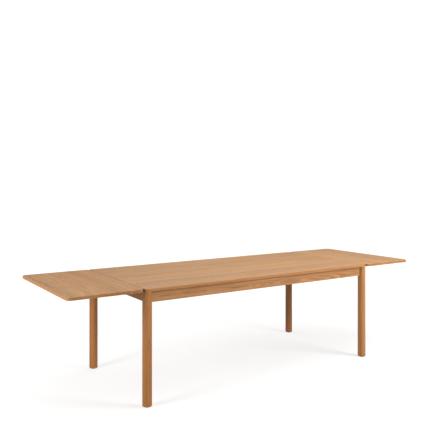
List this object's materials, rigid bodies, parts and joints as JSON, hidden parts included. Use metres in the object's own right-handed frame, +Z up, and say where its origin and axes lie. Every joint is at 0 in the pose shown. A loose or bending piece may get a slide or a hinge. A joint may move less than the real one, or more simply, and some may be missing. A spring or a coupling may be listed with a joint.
{
  "type": "extendable dining table",
  "caption": "Oak dining table on round legs with a loose leaf at each end, dowelled to the main top and carried on pull-out runners.",
  "frame": {"origin": "on the floor, under the middle of the table", "axes": "+X along the table towards its right end, -Y is the front long side, +Z up"},
  "size_m": [3, 0.97, 0.75],
  "materials": {
    "oak_top": "satin lacquer",
    "oak_legs": "satin lacquer",
    "oak_aprons": "satin lacquer",
    "hidden_oak": "planed and waxed",
    "beech": "bare",
    "brass": "turned",
    "zinc_steel": "zinc plated",
    "nylon": "moulded",
    "glide_plastic": "moulded",
    "rubber": "matt"
  },
  "bodies": {
    "frame": {"apron_front": "oak_aprons", "apron_left": "oak_aprons", "apron_rear": "oak_aprons", "apron_right": "oak_aprons", "centre_rail": "hidden_oak", "corner_block_front_left": "hidden_oak", "corner_block_front_right": "hidden_oak", "corner_block_rear_left": "hidden_oak", "corner_block_rear_right": "hidden_oak", "corner_block_screws": "zinc_steel", "cross_rail_left": "hidden_oak", "cross_rail_right": "hidden_oak", "glide_front_left": "glide_plastic", "glide_front_right": "glide_plastic", "glide_rear_left": "glide_plastic", "glide_rear_right": "glide_plastic", "hanger_bolts": "zinc_steel", "hanger_nuts": "zinc_steel", "hanger_washers": "zinc_steel", "leaf_bushes_left": "brass", "leaf_bushes_right": "brass", "leg_front_left": "oak_legs", "leg_front_right": "oak_legs", "leg_rear_left": "oak_legs", "leg_rear_right": "oak_legs", "main_top": "oak_top", "runner_bumper_left_front": "rubber", "runner_bumper_left_rear": "rubber", "runner_bumper_right_front": "rubber", "runner_bumper_right_rear": "rubber", "runner_guide_left_front": "nylon", "runner_guide_left_rear": "nylon", "runner_guide_right_front": "nylon", "runner_guide_right_rear": "nylon", "top_bracket_screws": "zinc_steel", "top_brackets": "zinc_steel"},
    "leaf_left": {"leaf_left": "oak_top", "leaf_dowels_left": "beech", "batten_screws_left": "zinc_steel", "leaf_batten_left_front": "hidden_oak", "leaf_batten_left_rear": "hidden_oak"},
    "runner_left_front": {"runner_left_front": "hidden_oak", "stop_pin_left_front": "beech"},
    "runner_left_rear": {"runner_left_rear": "hidden_oak", "stop_pin_left_rear": "beech"},
    "leaf_right": {"leaf_right": "oak_top", "leaf_dowels_right": "beech", "batten_screws_right": "zinc_steel", "leaf_batten_right_front": "hidden_oak", "leaf_batten_right_rear": "hidden_oak"},
    "runner_right_front": {"runner_right_front": "hidden_oak", "stop_pin_right_front": "beech"},
    "runner_right_rear": {"runner_right_rear": "hidden_oak", "stop_pin_right_rear": "beech"}
  },
  "joints": [
    {"name": "leaf_left_pull_off", "type": "slide", "parent": "frame", "child": "leaf_left", "axis": [-1, 0, 0], "range_m": [0, 0.045]},
    {"name": "runner_left_front_slide", "type": "slide", "parent": "frame", "child": "runner_left_front", "axis": [1, 0, 0], "range_m": [0, 0.44]},
    {"name": "runner_left_rear_slide", "type": "slide", "parent": "frame", "child": "runner_left_rear", "axis": [1, 0, 0], "range_m": [0, 0.44]},
    {"name": "leaf_right_pull_off", "type": "slide", "parent": "frame", "child": "leaf_right", "axis": [1, 0, 0], "range_m": [0, 0.045]},
    {"name": "runner_right_front_slide", "type": "slide", "parent": "frame", "child": "runner_right_front", "axis": [-1, 0, 0], "range_m": [0, 0.44]},
    {"name": "runner_right_rear_slide", "type": "slide", "parent": "frame", "child": "runner_right_rear", "axis": [-1, 0, 0], "range_m": [0, 0.44]}
  ]
}
